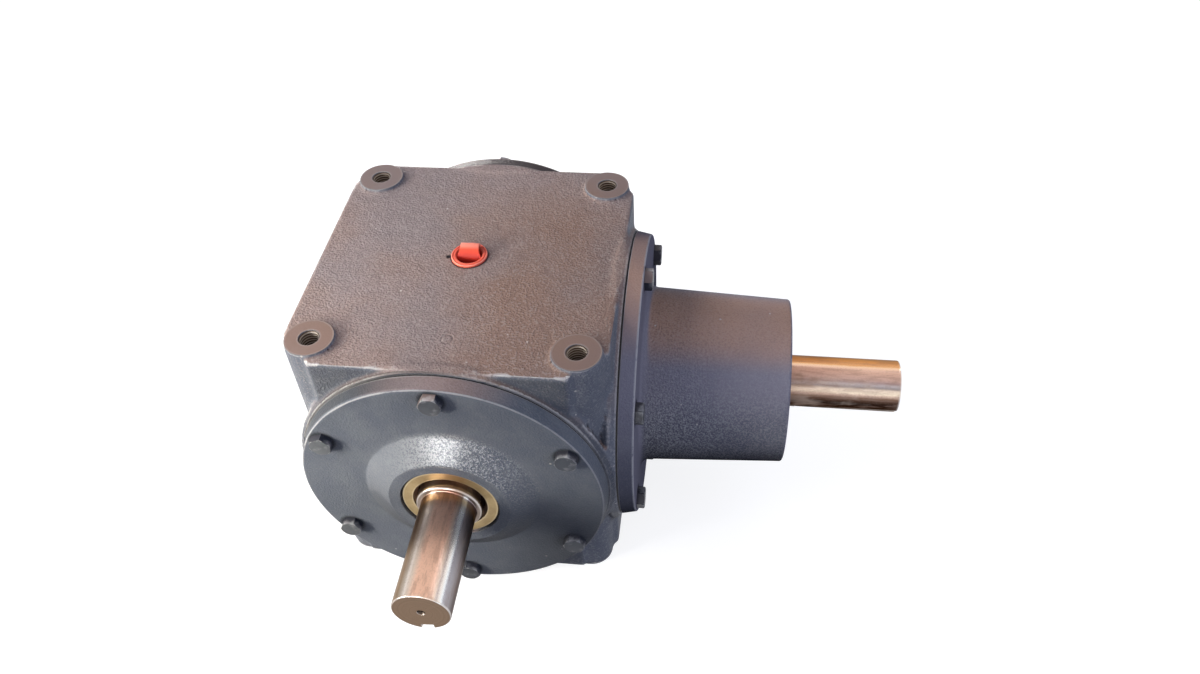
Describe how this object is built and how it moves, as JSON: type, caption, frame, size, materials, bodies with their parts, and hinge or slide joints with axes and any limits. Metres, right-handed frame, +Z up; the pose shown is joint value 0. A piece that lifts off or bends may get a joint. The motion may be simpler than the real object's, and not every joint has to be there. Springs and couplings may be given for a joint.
{
  "type": "right angle bevel gearbox",
  "caption": "Cube-shaped right angle gearbox: keyed output shaft through a round cover, keyed input shaft in a long quill, bevel gears and tapered roller bearings inside.",
  "frame": {"origin": "centre of the bounding box on the plane of the four lower mounting bosses; the shaft axes cross at (-0.0913, 0.0372, 0.0990) m", "axes": "+X along the input shaft, out of the quill; -Y along the output shaft, out of the front cover; +Z up"},
  "size_m": [0.3792, 0.3164, 0.2013],
  "materials": {
    "enamel": "dark grey enamel over sand-cast iron, worn bright on the edges",
    "screw_enamel": "dark grey enamel over zinc-plated steel",
    "shaft_steel": "ground, oiled",
    "gear_steel": "case hardened",
    "bearing_steel": "ground",
    "cage_steel": "pressed cage and ground rollers",
    "plain_steel": "machined",
    "seal_steel": "yellow passivated case, dark rubber lip",
    "gasket": "compressed sheet",
    "red_plastic": "moulded shipping plug"
  },
  "bodies": {
    "housing": {"drain_plug": "plain_steel", "fill_plug": "red_plastic", "front_bearing_cup": "bearing_steel", "front_cover": "enamel", "front_cover_screw_1": "screw_enamel", "front_cover_screw_2": "screw_enamel", "front_cover_screw_3": "screw_enamel", "front_cover_screw_4": "screw_enamel", "front_cover_screw_5": "screw_enamel", "front_cover_screw_6": "screw_enamel", "front_gasket": "gasket", "housing": "enamel", "inner_bearing_cup": "bearing_steel", "input_seal": "seal_steel", "level_plug": "plain_steel", "outer_bearing_cup": "bearing_steel", "output_seal": "seal_steel", "quill": "enamel", "quill_gasket": "gasket", "quill_screw_1": "screw_enamel", "quill_screw_2": "screw_enamel", "quill_screw_3": "screw_enamel", "quill_screw_4": "screw_enamel", "quill_screw_5": "screw_enamel", "quill_screw_6": "screw_enamel", "rear_bearing_cup": "bearing_steel", "rear_cover": "enamel", "rear_cover_screw_1": "screw_enamel", "rear_cover_screw_2": "screw_enamel", "rear_cover_screw_3": "screw_enamel", "rear_cover_screw_4": "screw_enamel", "rear_cover_screw_5": "screw_enamel", "rear_cover_screw_6": "screw_enamel", "rear_gasket": "gasket"},
    "output": {"output_shaft": "shaft_steel", "output_gear": "gear_steel", "output_gear_key": "plain_steel", "front_bearing_cone": "bearing_steel", "rear_bearing_cone": "bearing_steel"},
    "input": {"input_shaft": "shaft_steel", "input_gear": "gear_steel", "input_gear_key": "plain_steel", "input_gear_ring": "plain_steel", "bearing_spacer": "plain_steel", "input_locknut": "plain_steel", "inner_bearing_cone": "bearing_steel", "outer_bearing_cone": "bearing_steel"},
    "front_cage": {"front_bearing_rollers": "cage_steel"},
    "rear_cage": {"rear_bearing_rollers": "cage_steel"},
    "inner_cage": {"inner_bearing_rollers": "cage_steel"},
    "outer_cage": {"outer_bearing_rollers": "cage_steel"}
  },
  "joints": [
    {"name": "output_spin", "type": "hinge", "parent": "housing", "child": "output", "pos_m": [-0.09125, 0.0372, 0.099], "axis": [0, -1, 0], "continuous": true},
    {"name": "input_spin", "type": "hinge", "parent": "housing", "child": "input", "pos_m": [-0.09125, 0.0372, 0.099], "axis": [1, 0, 0], "continuous": true},
    {"name": "front_cage_spin", "type": "hinge", "parent": "housing", "child": "front_cage", "pos_m": [-0.09125, 0.0372, 0.099], "axis": [0, -1, 0], "continuous": true},
    {"name": "rear_cage_spin", "type": "hinge", "parent": "housing", "child": "rear_cage", "pos_m": [-0.09125, 0.0372, 0.099], "axis": [0, -1, 0], "continuous": true},
    {"name": "inner_cage_spin", "type": "hinge", "parent": "housing", "child": "inner_cage", "pos_m": [-0.09125, 0.0372, 0.099], "axis": [1, 0, 0], "continuous": true},
    {"name": "outer_cage_spin", "type": "hinge", "parent": "housing", "child": "outer_cage", "pos_m": [-0.09125, 0.0372, 0.099], "axis": [1, 0, 0], "continuous": true}
  ],
  "couplings": [
    {"joint": "input_spin", "follows": "output_spin", "ratio": -1},
    {"joint": "front_cage_spin", "follows": "output_spin", "ratio": 0.44151},
    {"joint": "rear_cage_spin", "follows": "output_spin", "ratio": 0.44151},
    {"joint": "inner_cage_spin", "follows": "output_spin", "ratio": -0.44151},
    {"joint": "outer_cage_spin", "follows": "output_spin", "ratio": -0.44151}
  ]
}
